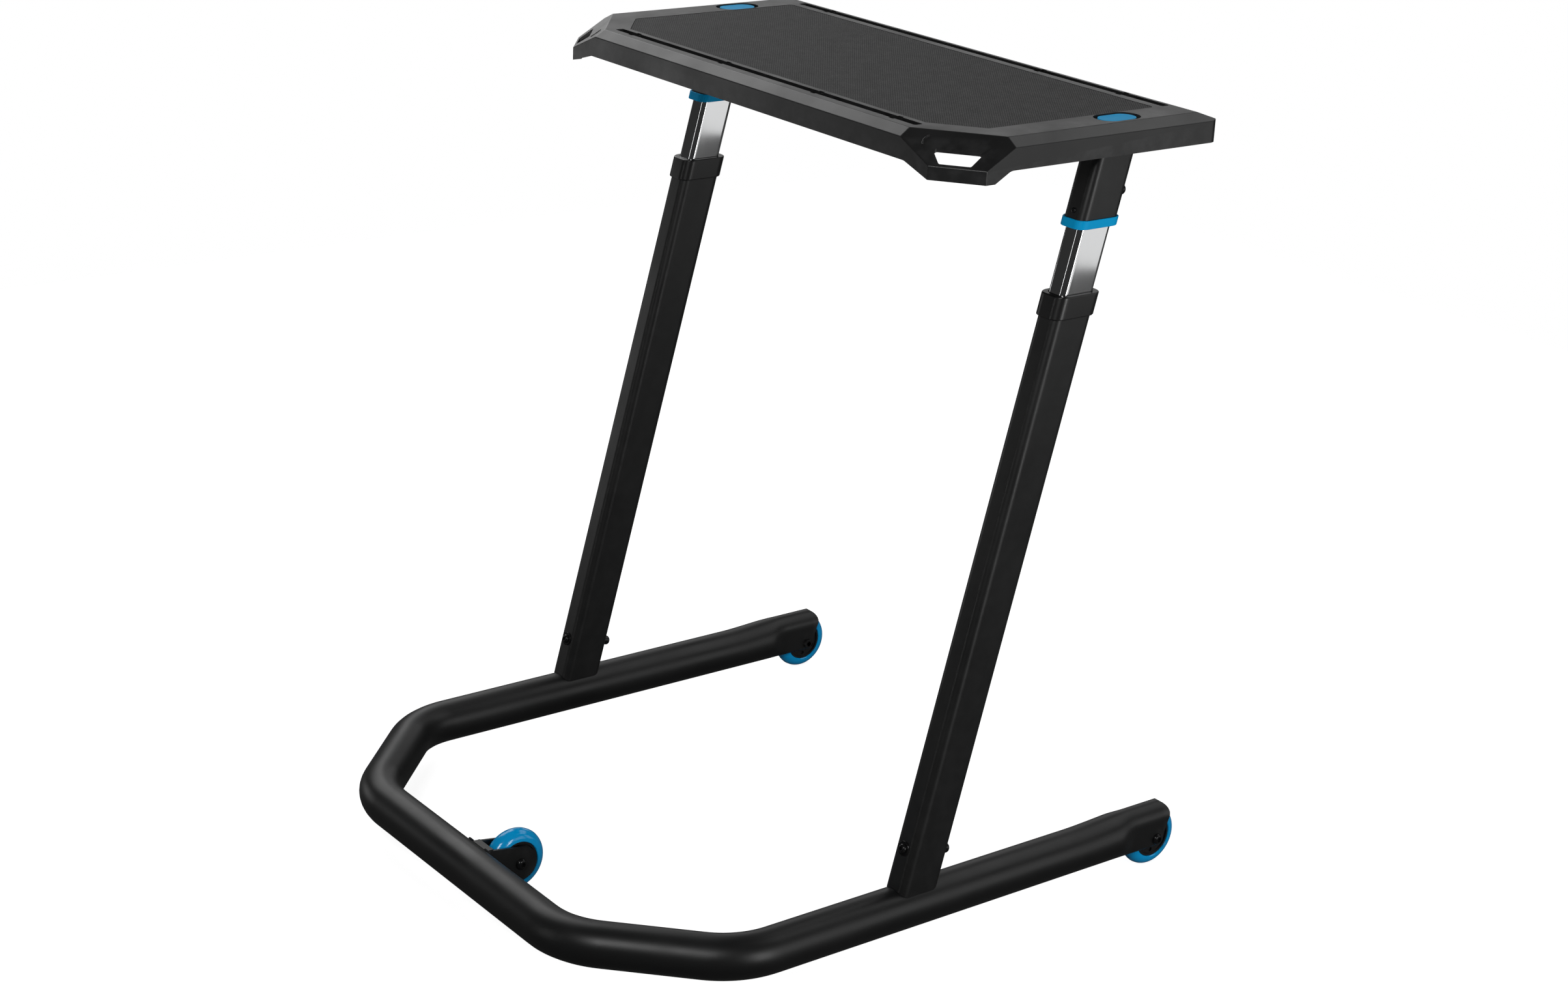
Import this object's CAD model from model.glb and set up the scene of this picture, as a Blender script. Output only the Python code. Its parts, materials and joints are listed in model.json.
"""Looks of the bike trainer desk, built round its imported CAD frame.

Sizes are millimetres in the frame's own axes: +X right, +Y towards the rider, +Z up.
Each sub-assembly is a class that models its pieces and hands them to the frame's bodies.
"""

from __future__ import annotations

import json
import logging
import math
from contextlib import contextmanager
from dataclasses import dataclass
from enum import Enum
from functools import cache
from typing import Callable, Iterator, Sequence

import bmesh
import bpy
from mathutils import Matrix, Vector

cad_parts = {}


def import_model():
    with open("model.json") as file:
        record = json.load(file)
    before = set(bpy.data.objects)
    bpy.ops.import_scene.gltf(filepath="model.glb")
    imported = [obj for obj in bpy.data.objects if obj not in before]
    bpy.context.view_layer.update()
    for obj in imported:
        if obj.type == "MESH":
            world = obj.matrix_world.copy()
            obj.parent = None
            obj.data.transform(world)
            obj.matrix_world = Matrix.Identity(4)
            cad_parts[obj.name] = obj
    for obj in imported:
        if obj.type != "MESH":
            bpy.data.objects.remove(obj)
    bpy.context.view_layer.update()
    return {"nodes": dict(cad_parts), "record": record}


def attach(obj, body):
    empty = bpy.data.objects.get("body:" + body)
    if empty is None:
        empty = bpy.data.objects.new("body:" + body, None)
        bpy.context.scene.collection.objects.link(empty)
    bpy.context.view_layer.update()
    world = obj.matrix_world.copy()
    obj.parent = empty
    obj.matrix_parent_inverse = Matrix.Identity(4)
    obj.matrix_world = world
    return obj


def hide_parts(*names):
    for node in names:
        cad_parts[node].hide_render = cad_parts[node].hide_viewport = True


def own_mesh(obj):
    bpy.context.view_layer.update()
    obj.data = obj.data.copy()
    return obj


log = logging.getLogger("bike_trainer_desk")

MM = 0.001  # a millimetre in metres
MERGE_DISTANCE = 1e-6  # in metres, as vertices are merged

# Limits and spares of the modelling moves, in millimetres and radians
GAP = 0.3  # room between two pieces
OVERRUN = 6.0  # how far a tool runs past what it cuts
START_RADIUS = 10.0  # of a circle, before its vertices go to their places
NEAR = 0.1  # how far a vertex may be from a face that it counts as part of
CREASE = math.radians(15)  # flatter edges aren't rounded
SHARP_ANGLE = math.radians(32)  # sharper edges are shaded sharp
NORMAL_WEIGHT = 60  # how much large faces lead the shading

# Steps of rounds, and sides of round pieces and tools
ARC_STEPS = 8
END_STEPS = 16
TURNED_SIDES = 64
TUBE_SIDES = 96
STUB_SIDES = 32
HOLE_SIDES = 24
SCREW_SIDES = 20
HEXAGON = 6

# Places that several sub-assemblies share, in millimetres
RAIL_X = 348  # the rails, the rear wheels and the posts, from the middle
RAIL_Z = 49  # the round tube's axis
TUBE_RADIUS = 26
CROSS_Y = -379  # the cross tube's axis
REAR_AXLE_Y = 367
FRONT_AXLE_Y = -313
AXLE_Z = 38
AXLE_HOLE = 4
WHEEL_ROOM = 13.5  # half the room that a wheel turns in
REAR_SPAN = 18  # half of what a rear wheel's bolt holds together
FRONT_SPAN = 16.5  # half of what the front wheel's bolt holds together
PLATE_TOP = 918  # the mount plates under the desk
PLATE_THICKNESS = 4
STEM_Y = 208  # the holes for the release buttons' stems
SCREW_X = 334  # the screws that hold the plates to the desk
SCREW_HOLE = 2.8
LEAN = 14.2  # degrees that both posts lean to the rider

# Turn a prism's outline into the YZ or the XZ plane, and its height along X or Y
ALONG_X = Matrix(((0, 0, 1, 0), (1, 0, 0, 0), (0, 1, 0, 0), (0, 0, 0, 1)))
ALONG_Y = Matrix(((1, 0, 0, 0), (0, 0, 1, 0), (0, 1, 0, 0), (0, 0, 0, 1)))

# Kinds of values: two numbers, three numbers, a test of one element of a mesh, and a shader link
# as a node, its output, the next node and its input
Point = tuple[float, float]
Triple = tuple[float, float, float]
Test = Callable[[object], bool]
Link = tuple[bpy.types.Node, str, bpy.types.Node, "str | int"]


class Pick(Enum):
    """What a selection in edit mode is made of, as Blender spells it."""

    VERTS = "VERT"
    EDGES = "EDGE"
    FACES = "FACE"


class Cut(Enum):
    """What a boolean does with its tools, as Blender spells it."""

    AWAY = "DIFFERENCE"
    ON = "UNION"
    WITHIN = "INTERSECT"


@dataclass(frozen=True)
class Round:
    """A small round on sharp edges: width in millimetres, steps, and the least angle in degrees."""

    width: float
    steps: int = 2
    angle: float = 50


def eased(value: float, start: float, end: float) -> float:
    """How far a value is from start to end, as a share with soft ends."""
    share = max(0.0, min(1.0, (value - start) / (end - start)))
    return share * share * (3 - 2 * share)


def mm(value: float) -> float:
    """Millimetres as metres."""
    return value * MM


def at(x: float, y: float, z: float) -> Vector:
    """A point in millimetres as a vector in metres."""
    return Vector((x, y, z)) * MM


def mirrored(place: Vector) -> Vector:
    """The same place on the desk's other side."""
    return Vector((-place.x, place.y, place.z))


# Modelling moves, each made of operators on one piece


def activate(piece: bpy.types.Object) -> None:
    """Makes a piece the only selected one and the active one."""
    bpy.ops.object.select_all(action="DESELECT")
    piece.select_set(True)
    bpy.context.view_layer.objects.active = piece


@contextmanager
def editing(piece: bpy.types.Object) -> Iterator[None]:
    """Keeps a piece in edit mode, with all of it selected at first.

    Args:
        piece: The mesh object to edit.

    Returns:
        A context that ends edit mode when it is left.
    """
    activate(piece)
    bpy.ops.object.mode_set(mode="EDIT")
    bpy.ops.mesh.select_mode(type=Pick.VERTS.value)
    bpy.ops.mesh.select_all(action="SELECT")
    yield
    bpy.ops.object.mode_set(mode="OBJECT")


def pick(piece: bpy.types.Object, kind: Pick, test: Test) -> None:
    """Selects the parts of a piece in edit mode that pass a test.

    Args:
        piece: The object in edit mode.
        kind: Whether edges or faces are tested.
        test: Says whether one element is selected.
    """
    bpy.ops.mesh.select_mode(type=kind.value)
    bpy.ops.mesh.select_all(action="DESELECT")
    mesh = bmesh.from_edit_mesh(piece.data)
    elements = mesh.edges if kind is Pick.EDGES else mesh.faces
    for element in [element for element in elements if test(element)]:
        element.select_set(True)
    bmesh.update_edit_mesh(piece.data)


def named(name: str) -> bpy.types.Object:
    """Gives the newest primitive its name and returns it."""
    piece = bpy.context.object
    piece.name = name
    piece.data.name = name
    return piece


def ring_of(name: str, points: Sequence[Vector], filled: bool) -> bpy.types.Object:
    """Adds a circle with a vertex for each point of an outline and moves them there.

    Args:
        name: The new object's name.
        points: The outline in metres, in order.
        filled: Whether the outline gets a face.

    Returns:
        The new object.
    """
    bpy.ops.object.select_all(action="DESELECT")
    fill = "NGON" if filled else "NOTHING"
    bpy.ops.mesh.primitive_circle_add(vertices=len(points), radius=mm(START_RADIUS), fill_type=fill)
    piece = named(name)
    for vertex, place in zip(piece.data.vertices, points):
        vertex.co = place
    return piece


def face_outwards(piece: bpy.types.Object) -> None:
    """Merges doubles and turns every face of a closed piece outwards."""
    with editing(piece):
        bpy.ops.mesh.remove_doubles(threshold=MERGE_DISTANCE)
        bpy.ops.mesh.normals_make_consistent(inside=False)


def close_ring(piece: bpy.types.Object) -> None:
    """Bridges the two open loops of a tube in edit mode."""
    pick(piece, Pick.EDGES, lambda edge: edge.is_boundary)
    bpy.ops.mesh.bridge_edge_loops()


def prism(name: str, outline: Sequence[Point], low: float, high: float) -> bpy.types.Object:
    """A solid prism along Z over a flat outline.

    Args:
        name: The new object's name.
        outline: X and Y of each corner in millimetres.
        low: The bottom in millimetres.
        high: The top in millimetres.

    Returns:
        The new object.
    """
    piece = ring_of(name, [at(x, y, low) for x, y in outline], True)
    with editing(piece):
        bpy.ops.mesh.extrude_region_move(TRANSFORM_OT_translate={"value": (0, 0, mm(high - low))})
    face_outwards(piece)
    return piece


def tube(name: str, outline: Sequence[Point], low: float, high: float, wall: float) -> bpy.types.Object:
    """An open tube along Z, whose wall goes inwards from its outline.

    Args:
        name: The new object's name.
        outline: X and Y of each corner in millimetres.
        low: The bottom in millimetres.
        high: The top in millimetres.
        wall: The wall's thickness in millimetres.

    Returns:
        The new object.
    """
    piece = ring_of(name, [at(x, y, low) for x, y in outline], False)
    with editing(piece):
        bpy.ops.mesh.extrude_region_move(TRANSFORM_OT_translate={"value": (0, 0, mm(high - low))})
        bpy.ops.mesh.select_all(action="SELECT")
        bpy.ops.mesh.normals_make_consistent(inside=False)
    modify(piece, "SOLIDIFY", thickness=mm(wall), offset=-1, use_even_offset=True)
    return piece


def turned(
    name: str, profile: Sequence[Point], closed: bool = False, steps: int = TURNED_SIDES
) -> bpy.types.Object:
    """A piece spun about Z from radius and height pairs.

    Args:
        name: The new object's name.
        profile: Radius and height of each point in millimetres.
        closed: Whether the profile closes on itself instead of ending on the axis.
        steps: How many sides the turned piece has.

    Returns:
        The new object.
    """
    places = [at(radius, 0, z) for radius, z in profile]
    piece = ring_of(name, places, False)

    def at_end(vertex: bmesh.types.BMVert) -> bool:
        """Whether a vertex is the first or the last of the profile."""
        return min((vertex.co - end).length for end in (places[0], places[-1])) < MERGE_DISTANCE

    with editing(piece):
        if not closed:
            pick(piece, Pick.EDGES, lambda edge: all(at_end(vertex) for vertex in edge.verts))
            bpy.ops.mesh.delete(type="EDGE")
        bpy.ops.mesh.select_mode(type="VERT")
        bpy.ops.mesh.select_all(action="SELECT")
        bpy.ops.mesh.spin(
            steps=steps, angle=2 * math.pi, center=(0, 0, 0), axis=(0, 0, 1), use_auto_merge=True
        )
    face_outwards(piece)
    return piece


def block(name: str, low: Sequence[float], high: Sequence[float]) -> bpy.types.Object:
    """A box between two corners, as a start for other moves.

    Args:
        name: The new object's name.
        low: The lowest corner in millimetres.
        high: The highest corner in millimetres.

    Returns:
        The new object.
    """
    middle = [mm(a + b) / 2 for a, b in zip(low, high)]
    size = [mm(b - a) for a, b in zip(low, high)]
    bpy.ops.object.select_all(action="DESELECT")
    bpy.ops.mesh.primitive_cube_add(size=1, location=middle, scale=size)
    piece = named(name)
    apply_place(piece)
    return piece


def rod(name: str, radius: float, start: Vector, end: Vector, sides: int) -> bpy.types.Object:
    """A round bar between two points, as a tool or a start for other moves.

    Args:
        name: The new object's name.
        radius: Its radius in millimetres.
        start: The middle of one end in metres.
        end: The middle of the other end in metres.
        sides: How many sides it has.

    Returns:
        The new object.
    """
    along = end - start
    turn = along.to_track_quat("Z", "Y").to_euler()
    bpy.ops.object.select_all(action="DESELECT")
    bpy.ops.mesh.primitive_cylinder_add(
        vertices=sides, radius=mm(radius), depth=along.length, location=(start + end) / 2, rotation=turn
    )
    piece = named(name)
    apply_place(piece)
    return piece


def apply_place(piece: bpy.types.Object) -> None:
    """Moves a piece's place, turn and scale into its mesh."""
    activate(piece)
    bpy.ops.object.transform_apply(location=True, rotation=True, scale=True)


def placed(piece: bpy.types.Object, matrix: Matrix) -> bpy.types.Object:
    """Moves a piece by a matrix and leaves its object at the origin.

    Args:
        piece: The object to move.
        matrix: Where it goes, in metres.

    Returns:
        The same object.
    """
    piece.matrix_world = matrix
    apply_place(piece)
    if matrix.determinant() < 0:
        with editing(piece):
            bpy.ops.mesh.normals_make_consistent(inside=False)
    return piece


def modify(piece: bpy.types.Object, kind: str, **settings: object) -> None:
    """Adds a modifier to a piece and applies it.

    Args:
        piece: The object to change.
        kind: Blender's name of the modifier type.
        **settings: The modifier's own settings.
    """
    activate(piece)
    modifier = piece.modifiers.new(kind.title(), kind)
    for key, value in settings.items():
        setattr(modifier, key, value)
    bpy.ops.object.modifier_apply(modifier=modifier.name)


def combine(piece: bpy.types.Object, tools: Sequence[bpy.types.Object], how: Cut) -> None:
    """Cuts tools away from a piece, fuses them on or keeps what is in them, and removes the tools.

    Args:
        piece: The object to change.
        tools: Closed meshes.
        how: Which of the three is done.
    """
    for tool in tools:
        modify(piece, "BOOLEAN", operation=how.value, object=tool, solver="EXACT")
        mesh = tool.data
        bpy.data.objects.remove(tool)
        bpy.data.meshes.remove(mesh)


def joined(pieces: Sequence[bpy.types.Object], name: str) -> bpy.types.Object:
    """Joins several meshes into one object.

    Args:
        pieces: The objects to join; the first one stays.
        name: The joined object's name.

    Returns:
        The joined object.
    """
    bpy.ops.object.select_all(action="DESELECT")
    for piece in pieces:
        piece.select_set(True)
    bpy.context.view_layer.objects.active = pieces[0]
    bpy.ops.object.join()
    return named(name)


def bevelled(piece: bpy.types.Object, width: float, segments: int, test: Test) -> None:
    """Rounds the edges of a piece that pass a test.

    Args:
        piece: The object to change.
        width: The bevel's width in millimetres.
        segments: How many steps the round has.
        test: Says whether one edge is rounded.
    """
    with editing(piece):
        pick(piece, Pick.EDGES, test)
        bpy.ops.mesh.bevel(offset=mm(width), segments=segments, affect="EDGES", clamp_overlap=True)


def softened(piece: bpy.types.Object, edge: Round) -> None:
    """Gives every sharp edge of a piece a small round.

    Args:
        piece: The object to change.
        edge: The round and the edges that get it.
    """
    modify(
        piece, "BEVEL", width=mm(edge.width), segments=edge.steps, limit_method="ANGLE",
        angle_limit=math.radians(edge.angle), use_clamp_overlap=True, miter_outer="MITER_ARC",
    )


def smoothed(piece: bpy.types.Object) -> None:
    """Shades a piece smooth, with its sharp edges kept and its normals led by the large faces."""
    activate(piece)
    bpy.ops.object.shade_smooth_by_angle(angle=SHARP_ANGLE)
    modify(piece, "WEIGHTED_NORMAL", keep_sharp=True, weight=NORMAL_WEIGHT)


def bend(before: Vector, corner: Vector, after: Vector, radius: float, steps: int) -> list[Vector]:
    """Points of a round that replaces one corner of a path.

    Args:
        before: The path's point before the corner.
        corner: The corner.
        after: The path's point after the corner.
        radius: The round's radius, in the points' own unit.
        steps: How many steps it has.

    Returns:
        The points from the first to the last tangent point.
    """
    towards = (before - corner).normalized()
    away = (after - corner).normalized()
    half = towards.angle(away) / 2
    centre = corner + (towards + away).normalized() * (radius / math.sin(half))
    first = corner + towards * (radius / math.tan(half)) - centre
    last = corner + away * (radius / math.tan(half)) - centre
    return [centre + first.slerp(last, i / steps) * radius for i in range(steps + 1)]


def rounded(
    corners: Sequence[Point], radius: float | Sequence[float], steps: int = ARC_STEPS
) -> list[Point]:
    """An outline with round corners.

    Args:
        corners: X and Y of each corner in millimetres, in order.
        radius: One radius for all corners, or one for each.
        steps: How many steps each round has.

    Returns:
        X and Y of each point in millimetres.
    """
    count = len(corners)
    radii = [radius] * count if isinstance(radius, (int, float)) else list(radius)
    places = [Vector((x, y, 0)) for x, y in corners]
    points: list[Point] = []
    for i, place in enumerate(places):
        if radii[i] <= 0:
            points.append((place.x, place.y))
            continue
        arc = bend(places[i - 1], place, places[(i + 1) % count], radii[i], steps)
        points.extend((p.x, p.y) for p in arc)
    return points


def box_outline(half_x: float, half_y: float, radius: float, steps: int = ARC_STEPS) -> list[Point]:
    """A rectangle with round corners about the origin, in millimetres."""
    corners = [(half_x, half_y), (-half_x, half_y), (-half_x, -half_y), (half_x, -half_y)]
    return rounded(corners, radius, steps)


def stadium(half_x: float, half_y: float) -> list[Point]:
    """An outline with two round ends along Y, in millimetres."""
    return box_outline(half_x, half_y, half_x - MM, END_STEPS)


def both_faces(half: Sequence[Point]) -> list[Point]:
    """A closed profile from its upper half, whose first point is at height zero."""
    return [*half, *((radius, -z) for radius, z in reversed(half[1:]))]


def swept(name: str, path: Sequence[Vector], radius: float, fineness: int) -> bpy.types.Object:
    """A round bar with closed ends along a path.

    Args:
        name: The new object's name.
        path: The points of its middle line in metres.
        radius: Its radius in millimetres.
        fineness: How many sides a quarter of its round has, less one.

    Returns:
        The new mesh object.
    """
    curve = bpy.data.curves.new(name, "CURVE")
    curve.dimensions = "3D"
    curve.bevel_depth = mm(radius)
    curve.bevel_resolution = fineness
    curve.use_fill_caps = True
    line = curve.splines.new("POLY")
    line.points.add(len(path) - 1)
    for knot, place in zip(line.points, path):
        knot.co = (*place, 1)
    piece = bpy.data.objects.new(name, curve)
    bpy.context.scene.collection.objects.link(piece)
    activate(piece)
    bpy.ops.object.convert(target="MESH")
    piece = named(name)
    face_outwards(piece)
    return piece


# Finishes


def set_inputs(node: bpy.types.Node, values: dict[str | int, object]) -> None:
    """Gives a node's inputs their values, by name or number."""
    for key, value in values.items():
        node.inputs[key].default_value = value


def add_node(
    tree: bpy.types.NodeTree, kind: str, values: dict[str | int, object] | None = None, **settings: object
) -> bpy.types.Node:
    """Adds a shader node.

    Args:
        tree: The node tree that it goes in.
        kind: Its type, without ShaderNode in front.
        values: The value of each input that doesn't stay as it is.
        **settings: The node's own settings.

    Returns:
        The node.
    """
    node = tree.nodes.new(f"ShaderNode{kind}")
    for key, value in settings.items():
        setattr(node, key, value)
    set_inputs(node, values or {})
    return node


def wire(tree: bpy.types.NodeTree, *links: Link) -> None:
    """Links each node's output to the input that follows it."""
    for source, output, target, entry in links:
        tree.links.new(source.outputs[output], target.inputs[entry])


def start_group(
    name: str, inputs: dict[str, float], outputs: Sequence[str]
) -> tuple[bpy.types.NodeTree, bpy.types.Node, bpy.types.Node]:
    """Makes an empty group with a vector input, number inputs and number outputs.

    Args:
        name: The group's name.
        inputs: The name and usual value of each number input.
        outputs: The name of each number output.

    Returns:
        The group, its input node and its output node.
    """
    tree = bpy.data.node_groups.new(name, "ShaderNodeTree")
    add = tree.interface.new_socket
    add("Vector", in_out="INPUT", socket_type="NodeSocketVector")
    for key, value in inputs.items():
        add(key, in_out="INPUT", socket_type="NodeSocketFloat").default_value = value
    for key in outputs:
        add(key, in_out="OUTPUT", socket_type="NodeSocketFloat")
    return tree, tree.nodes.new("NodeGroupInput"), tree.nodes.new("NodeGroupOutput")


class Shared:
    """Shader node groups that several finishes use, each built once."""

    @staticmethod
    @cache
    def grain() -> bpy.types.NodeTree:
        """A fine moulded or sprayed grain: Height for bump and Tone for colour.

        Returns:
            The node group.
        """
        usual = {"Grain Size": 900.0, "Cell Share": 0.5}
        tree, start, end = start_group("fine_grain", usual, ["Height", "Tone"])
        noise = add_node(tree, "TexNoise", {"Detail": 4})
        cells = add_node(tree, "TexVoronoi", feature="SMOOTH_F1")
        blend = add_node(tree, "Mix")
        tone = add_node(tree, "TexNoise", {"Scale": 14, "Detail": 5})
        wire(
            tree,
            (start, "Vector", noise, "Vector"),
            (start, "Vector", cells, "Vector"),
            (start, "Vector", tone, "Vector"),
            (start, "Grain Size", noise, "Scale"),
            (start, "Grain Size", cells, "Scale"),
            (start, "Cell Share", blend, "Factor"),
            (noise, "Fac", blend, "A"),
            (cells, "Distance", blend, "B"),
            (blend, "Result", end, "Height"),
            (tone, "Fac", end, "Tone"),
        )
        return tree

    @staticmethod
    @cache
    def wear() -> bpy.types.NodeTree:
        """A broken mask on the outer edges, where paint and grain are rubbed.

        Returns:
            The node group.
        """
        usual = {"Start": 0.52, "Reach": 0.1, "Patch Size": 60.0}
        tree, start, end = start_group("edge_wear", usual, ["Mask"])
        shape = add_node(tree, "NewGeometry")
        reach = add_node(tree, "Math", operation="ADD")
        edge = add_node(tree, "MapRange")
        patches = add_node(tree, "TexNoise", {"Detail": 6})
        broken = add_node(tree, "MapRange", {"From Min": 0.4, "From Max": 0.62})
        mask = add_node(tree, "Math", operation="MULTIPLY")
        wire(
            tree,
            (start, "Start", reach, 0),
            (start, "Reach", reach, 1),
            (shape, "Pointiness", edge, "Value"),
            (start, "Start", edge, "From Min"),
            (reach, "Value", edge, "From Max"),
            (start, "Vector", patches, "Vector"),
            (start, "Patch Size", patches, "Scale"),
            (patches, "Fac", broken, "Value"),
            (edge, "Result", mask, 0),
            (broken, "Result", mask, 1),
            (mask, "Value", end, "Mask"),
        )
        return tree

    @staticmethod
    @cache
    def weave() -> bpy.types.NodeTree:
        """A small cloth-like weave pressed into rubber: Height and Tone.

        Returns:
            The node group.
        """
        usual = {"Thread Size": 130.0, "Unevenness": 0.5}
        tree, start, end = start_group("pressed_weave", usual, ["Height", "Tone"])
        stir = add_node(tree, "TexNoise", {"Scale": 300, "Detail": 3})
        mottle = add_node(tree, "TexNoise", {"Scale": 45, "Detail": 4})
        spread = add_node(tree, "MapRange", {"From Min": 0.3, "From Max": 0.56})
        tone = add_node(tree, "Mix", {"Factor": 0.3})
        cross = add_node(tree, "Math", operation="MULTIPLY")
        blend = add_node(tree, "Mix")
        for entry, direction in enumerate(("X", "Y")):
            threads = {"Distortion": 1.4, "Detail": 1}
            wave = add_node(tree, "TexWave", threads, bands_direction=direction)
            wire(
                tree,
                (start, "Vector", wave, "Vector"),
                (start, "Thread Size", wave, "Scale"),
                (wave, "Fac", cross, entry),
            )
        wire(
            tree,
            (start, "Vector", stir, "Vector"),
            (start, "Unevenness", blend, "Factor"),
            (cross, "Value", blend, "A"),
            (stir, "Fac", blend, "B"),
            (blend, "Result", end, "Height"),
            (start, "Vector", mottle, "Vector"),
            (blend, "Result", spread, "Value"),
            (spread, "Result", tone, "A"),
            (mottle, "Fac", tone, "B"),
            (tone, "Result", end, "Tone"),
        )
        return tree


@dataclass(frozen=True)
class Finish:
    """One material: a colour with grain, edge wear and handling marks.

    Colours are linear. Grain is Blender's noise scale on object coordinates in metres, and bump
    heights are millimetres.
    """

    name: str
    slot: str
    colour: Triple
    light: Triple
    worn: Triple
    roughness: float
    rough_range: float = 0.08
    metallic: float = 0.0
    coat: float = 0.0
    coat_roughness: float = 0.1
    specular: float = 0.5
    grain: float = 900.0
    cells: float = 0.5
    bump: float = 0.02
    wear: float = 0.3
    stretch: Triple = (1.0, 1.0, 1.0)
    lean: float = 0.0
    turn: float = 0.0
    woven: bool = False
    bump_strength: float = 0.6
    tone_range: Point = (0.3, 0.7)

    def material(self) -> bpy.types.Material:
        """Builds the material, or returns the one that is built already.

        Returns:
            The material.
        """
        title = f"finish_{self.name}"
        found = bpy.data.materials.get(title)
        if found:
            return found
        material = bpy.data.materials.new(title)
        material.use_nodes = True
        tree = material.node_tree
        shader = tree.nodes["Principled BSDF"]
        set_inputs(shader, {
            "Metallic": self.metallic, "Coat Weight": self.coat, "Coat Roughness": self.coat_roughness,
            "Specular IOR Level": self.specular,
        })
        place = add_node(tree, "TexCoord")
        turn = (math.radians(self.lean), 0, math.radians(self.turn))
        mapping = add_node(tree, "Mapping", {"Rotation": turn, "Scale": self.stretch})
        group = Shared.weave() if self.woven else Shared.grain()
        grain = add_node(tree, "Group", node_tree=group)
        # Grain and weave each name these two in their own way
        set_inputs(grain, {1: self.grain, 2: self.cells})
        wear = add_node(tree, "Group", node_tree=Shared.wear())
        height = add_node(tree, "Bump", {"Strength": self.bump_strength, "Distance": mm(self.bump)})
        wire(
            tree,
            (place, "Object", mapping, "Vector"),
            (mapping, "Vector", grain, "Vector"),
            (mapping, "Vector", wear, "Vector"),
            (grain, "Height", height, "Height"),
            (height, "Normal", shader, "Normal"),
        )
        self._colour(tree, shader, grain, wear)
        self._roughness(tree, shader, grain)
        return material

    def _colour(
        self, tree: bpy.types.NodeTree, shader: bpy.types.Node, grain: bpy.types.Node, wear: bpy.types.Node
    ) -> None:
        """Mixes the light tone and the worn edges over the base colour.

        Args:
            tree: The material's node tree.
            shader: Its shader.
            grain: The group whose Tone leads to the light tone.
            wear: The group whose Mask leads to the worn colour.
        """
        tones = {"A": (*self.colour, 1), "B": (*self.light, 1)}
        tone = add_node(tree, "Mix", tones, data_type="RGBA")
        share = add_node(tree, "Math", {1: self.wear}, operation="MULTIPLY")
        edges = add_node(tree, "Mix", {"B": (*self.worn, 1)}, data_type="RGBA")
        wire(
            tree,
            (grain, "Tone", tone, "Factor"),
            (wear, "Mask", share, 0),
            (share, "Value", edges, "Factor"),
            (tone, "Result", edges, "A"),
            (edges, "Result", shader, "Base Color"),
        )

    def _roughness(self, tree: bpy.types.NodeTree, shader: bpy.types.Node, grain: bpy.types.Node) -> None:
        """Varies the roughness with the tone, as handling marks do.

        Args:
            tree: The material's node tree.
            shader: Its shader.
            grain: The group whose Tone leads the roughness.
        """
        half = self.rough_range / 2
        marks = add_node(tree, "MapRange", {
            "From Min": self.tone_range[0], "From Max": self.tone_range[1],
            "To Min": self.roughness - half, "To Max": self.roughness + half,
        })
        wire(tree, (grain, "Tone", marks, "Value"), (marks, "Result", shader, "Roughness"))


FRAME_PAINT = Finish(
    "frame_paint", "black_frame",
    (0.0055, 0.0057, 0.0058), (0.0085, 0.0087, 0.0088), (0.04, 0.04, 0.04), 0.4,
    grain=1500, cells=0.3, bump=0.012, wear=0.35,
)
SHELL_PLASTIC = Finish(
    "shell_plastic", "shell_plastic",
    (0.011, 0.0111, 0.0112), (0.017, 0.0171, 0.0173), (0.06, 0.06, 0.061), 0.36,
    rough_range=0.12, grain=800, cells=0.7, bump=0.05, wear=0.3,
)
COLLAR_PLASTIC = Finish(
    "collar_plastic", "collar_plastic",
    (0.008, 0.008, 0.0082), (0.012, 0.012, 0.0122), (0.04, 0.04, 0.04), 0.3,
    grain=1600, cells=0.6, bump=0.012, wear=0.3,
)
HUB_PLASTIC = Finish(
    "hub_plastic", "hub_plastic",
    (0.008, 0.008, 0.0082), (0.012, 0.012, 0.0122), (0.04, 0.04, 0.04), 0.4,
    grain=1500, cells=0.6, bump=0.015, wear=0.3,
)
MAT_RUBBER = Finish(
    "mat_rubber", "mat_rubber",
    (0.003, 0.0031, 0.0032), (0.14, 0.1402, 0.1405), (0.16, 0.16, 0.16), 0.78,
    grain=130, cells=0.5, bump=0.25, wear=0.1, specular=0.35, turn=38, woven=True,
)
BLUE_PLASTIC = Finish(
    "blue_plastic", "blue_plastic",
    (0.001, 0.45, 0.92), (0.002, 0.49, 0.96), (0.05, 0.55, 0.97), 0.45,
    specular=0.1, grain=1500, cells=0.5, bump=0.012, wear=0.3,
)
BLUE_TYRE = Finish(
    "blue_tyre", "blue_tyre",
    (0.001, 0.42, 0.92), (0.0015, 0.46, 0.96), (0.03, 0.52, 0.97), 0.16,
    rough_range=0.05, coat=0.3, coat_roughness=0.06, grain=400, cells=0.2, bump=0.006, wear=0.2,
)
CHROME_PLATE = Finish(
    "chrome_plate", "chrome",
    (0.66, 0.665, 0.67), (0.74, 0.745, 0.75), (0.8, 0.8, 0.8), 0.07,
    rough_range=0.06, metallic=1.0, grain=1400, cells=0.2, bump=0.004, wear=0.2,
    stretch=(1, 1, 0.02), lean=LEAN,
)
BRIGHT_STEEL = Finish(
    "bright_steel", "inner_steel",
    (0.36, 0.365, 0.37), (0.45, 0.455, 0.46), (0.6, 0.6, 0.6), 0.3,
    metallic=1.0, grain=1200, cells=0.3, bump=0.006, wear=0.3,
)
SPRING_PAINT = Finish(
    "spring_paint", "spring_body",
    (0.01, 0.01, 0.011), (0.015, 0.015, 0.016), (0.08, 0.08, 0.08), 0.3,
    grain=1500, cells=0.3, bump=0.01, wear=0.4,
)
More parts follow.
